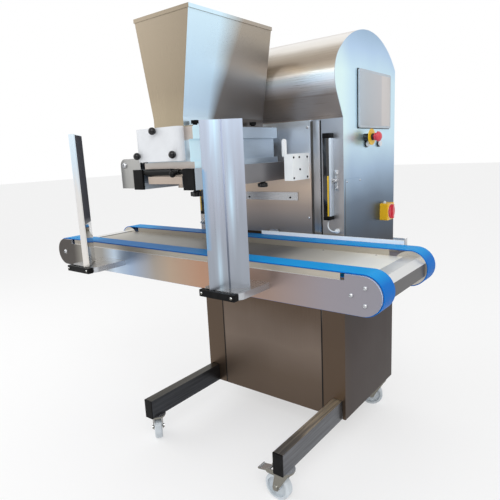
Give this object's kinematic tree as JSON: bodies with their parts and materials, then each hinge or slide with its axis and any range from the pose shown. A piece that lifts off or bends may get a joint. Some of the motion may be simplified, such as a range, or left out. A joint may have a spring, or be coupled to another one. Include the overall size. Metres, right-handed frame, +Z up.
{
  "type": "cookie depositor",
  "caption": "Hopper-fed cookie depositor: fluted feed rollers over a tray conveyor with belts, on a stainless cabinet with swivel castors.",
  "frame": {"origin": "on the floor, under the middle of the overall box", "axes": "+X along the conveyor to the control panel's side, +Y from the operator to the cabinet's back, +Z up"},
  "size_m": [1.536, 1.1, 1.64],
  "materials": {
    "stainless": "brushed stainless sheet and plate",
    "turned_steel": "turned stainless steel",
    "zinc": "bright zinc plate",
    "nylon": "natural nylon",
    "white_plastic": "white machined plastic",
    "black_plastic": "black moulded plastic",
    "belt": "blue food-grade belt",
    "panel_grey": "grey bezel",
    "yellow_plastic": "yellow moulded plastic",
    "red_plastic": "red moulded plastic",
    "aluminium": "satin anodised aluminium",
    "lead": "pale sheathed lead",
    "drive_paint": "grey enamel"
  },
  "bodies": {
    "machine": {"leg_tubes": "stainless", "leg_end_caps": "black_plastic", "floor_pan": "stainless", "castor_heads": "zinc", "right_end_panel": "stainless", "left_end_panel": "stainless", "cabinet_front_panel": "stainless", "front_plate": "stainless", "hood_cover": "stainless", "rear_cover": "stainless", "service_plate": "stainless", "locating_bar": "stainless", "touch_panel": "panel_grey", "button_collars": "yellow_plastic", "switch_box": "yellow_plastic", "light_curtains": "aluminium", "curtain_leads": "lead", "mirror_posts": "aluminium", "post_brackets": "stainless", "bracket_handles": "black_plastic", "conveyor_side_plates": "stainless", "belts": "belt", "belt_rails": "stainless", "bed_pan": "stainless", "end_covers": "stainless", "conveyor_brackets": "stainless", "tray_guide": "white_plastic", "head_frame": "stainless", "front_cover": "white_plastic", "die_block": "stainless", "clamp_blocks": "black_plastic", "side_bars": "stainless", "guide_blocks": "white_plastic", "hopper": "stainless", "pump_drive": "drive_paint"},
    "castor_fork_fr": {"castor_fork_fr": "zinc"},
    "castor_fork_fl": {"castor_fork_fl": "zinc"},
    "castor_fork_rr": {"castor_fork_rr": "zinc"},
    "castor_fork_rl": {"castor_fork_rl": "zinc"},
    "castor_wheel_fr": {"castor_wheel_fr": "nylon"},
    "castor_wheel_fl": {"castor_wheel_fl": "nylon"},
    "castor_wheel_rr": {"castor_wheel_rr": "nylon"},
    "castor_wheel_rl": {"castor_wheel_rl": "nylon"},
    "brake_pedal_fr": {"brake_pedal_fr": "zinc"},
    "brake_pedal_rl": {"brake_pedal_rl": "zinc"},
    "drive_roller": {"drive_roller": "turned_steel"},
    "idler_roller": {"idler_roller": "turned_steel"},
    "left_feed_roller": {"left_feed_roller": "turned_steel"},
    "right_feed_roller": {"right_feed_roller": "turned_steel"},
    "estop_button": {"estop_button": "red_plastic"},
    "start_button": {"start_button": "white_plastic"},
    "stop_button": {"stop_button": "black_plastic"},
    "switch_knob": {"switch_knob": "red_plastic"},
    "cover_knob_top": {"cover_knob_top": "black_plastic"},
    "cover_knob_left": {"cover_knob_left": "black_plastic"},
    "cover_knob_right": {"cover_knob_right": "black_plastic"},
    "hopper_knob_front": {"hopper_knob_front": "black_plastic"},
    "hopper_knob_rear": {"hopper_knob_rear": "black_plastic"},
    "clamp_lever": {"clamp_lever": "black_plastic"},
    "side_guard": {"side_guard": "stainless"}
  },
  "joints": [
    {"name": "swivel_fr", "type": "hinge", "parent": "machine", "child": "castor_fork_fr", "pos_m": [0.392, -0.319, 0.115], "axis": [0, 0, 1], "continuous": true},
    {"name": "wheel_fr", "type": "hinge", "parent": "castor_fork_fr", "child": "castor_wheel_fr", "pos_m": [0.362, -0.319, 0.05], "axis": [0, -1, 0], "continuous": true},
    {"name": "pedal_fr", "type": "hinge", "parent": "castor_fork_fr", "child": "brake_pedal_fr", "pos_m": [0.33, -0.319, 0.1056], "axis": [0, 1, 0], "range_deg": [0, 12]},
    {"name": "swivel_fl", "type": "hinge", "parent": "machine", "child": "castor_fork_fl", "pos_m": [-0.265, -0.319, 0.115], "axis": [0, 0, 1], "continuous": true},
    {"name": "wheel_fl", "type": "hinge", "parent": "castor_fork_fl", "child": "castor_wheel_fl", "pos_m": [-0.28831, -0.30012, 0.05], "axis": [-0.6293, -0.7771, 0], "continuous": true},
    {"name": "swivel_rr", "type": "hinge", "parent": "machine", "child": "castor_fork_rr", "pos_m": [0.392, 0.478, 0.115], "axis": [0, 0, 1], "continuous": true},
    {"name": "wheel_rr", "type": "hinge", "parent": "castor_fork_rr", "child": "castor_wheel_rr", "pos_m": [0.36439, 0.46628, 0.05], "axis": [0.3907, -0.9205, 0], "continuous": true},
    {"name": "swivel_rl", "type": "hinge", "parent": "machine", "child": "castor_fork_rl", "pos_m": [-0.265, 0.478, 0.115], "axis": [0, 0, 1], "continuous": true},
    {"name": "wheel_rl", "type": "hinge", "parent": "castor_fork_rl", "child": "castor_wheel_rl", "pos_m": [-0.23681, 0.48826, 0.05], "axis": [-0.342, 0.9397, 0], "continuous": true},
    {"name": "pedal_rl", "type": "hinge", "parent": "castor_fork_rl", "child": "brake_pedal_rl", "pos_m": [-0.20674, 0.49921, 0.1056], "axis": [0.342, -0.9397, 0], "range_deg": [0, 12]},
    {"name": "drive_roller_spin", "type": "hinge", "parent": "machine", "child": "drive_roller", "pos_m": [0.708, -0.165, 0.81], "axis": [0, 1, 0], "continuous": true},
    {"name": "idler_roller_spin", "type": "hinge", "parent": "machine", "child": "idler_roller", "pos_m": [-0.708, -0.165, 0.81], "axis": [0, 1, 0], "continuous": true},
    {"name": "left_feed_roller_spin", "type": "hinge", "parent": "machine", "child": "left_feed_roller", "pos_m": [0.0315, -0.2, 1.2175], "axis": [0, 1, 0], "continuous": true},
    {"name": "right_feed_roller_spin", "type": "hinge", "parent": "machine", "child": "right_feed_roller", "pos_m": [0.0955, -0.2, 1.2175], "axis": [0, 1, 0], "continuous": true},
    {"name": "estop_push", "type": "slide", "parent": "machine", "child": "estop_button", "axis": [-1, 0, 0], "range_m": [0, 0.005], "stiffness_N_per_m": 4000},
    {"name": "start_push", "type": "slide", "parent": "machine", "child": "start_button", "axis": [-1, 0, 0], "range_m": [0, 0.004], "stiffness_N_per_m": 2500},
    {"name": "stop_push", "type": "slide", "parent": "machine", "child": "stop_button", "axis": [-1, 0, 0], "range_m": [0, 0.004], "stiffness_N_per_m": 2500},
    {"name": "switch_turn", "type": "hinge", "parent": "machine", "child": "switch_knob", "pos_m": [0.4275, 0.434, 0.931], "axis": [1, 0, 0], "range_deg": [0, 90]},
    {"name": "cover_knob_top_turn", "type": "hinge", "parent": "machine", "child": "cover_knob_top", "pos_m": [0.0395, -0.48, 1.283], "axis": [0, 1, 0], "continuous": true},
    {"name": "cover_knob_left_turn", "type": "hinge", "parent": "machine", "child": "cover_knob_left", "pos_m": [-0.0445, -0.48, 1.207], "axis": [0, 1, 0], "continuous": true},
    {"name": "cover_knob_right_turn", "type": "hinge", "parent": "machine", "child": "cover_knob_right", "pos_m": [0.1235, -0.48, 1.207], "axis": [0, 1, 0], "continuous": true},
    {"name": "hopper_knob_front_turn", "type": "hinge", "parent": "machine", "child": "hopper_knob_front", "pos_m": [0.152, -0.402, 1.3], "axis": [0, 0, 1], "continuous": true},
    {"name": "hopper_knob_rear_turn", "type": "hinge", "parent": "machine", "child": "hopper_knob_rear", "pos_m": [0.152, -0.101, 1.3], "axis": [0, 0, 1], "continuous": true},
    {"name": "clamp_lever_turn", "type": "hinge", "parent": "machine", "child": "clamp_lever", "pos_m": [0.0635, -0.4635, 1.153], "axis": [-1, 0, 0], "range_deg": [0, 60]},
    {"name": "side_guard_hinge", "type": "hinge", "parent": "machine", "child": "side_guard", "pos_m": [-0.0645, -0.2, 1.192], "axis": [0, 1, 0], "range_deg": [0, 75]}
  ],
  "couplings": [
    {"joint": "idler_roller_spin", "follows": "drive_roller_spin", "ratio": 1},
    {"joint": "right_feed_roller_spin", "follows": "left_feed_roller_spin", "ratio": -1}
  ]
}
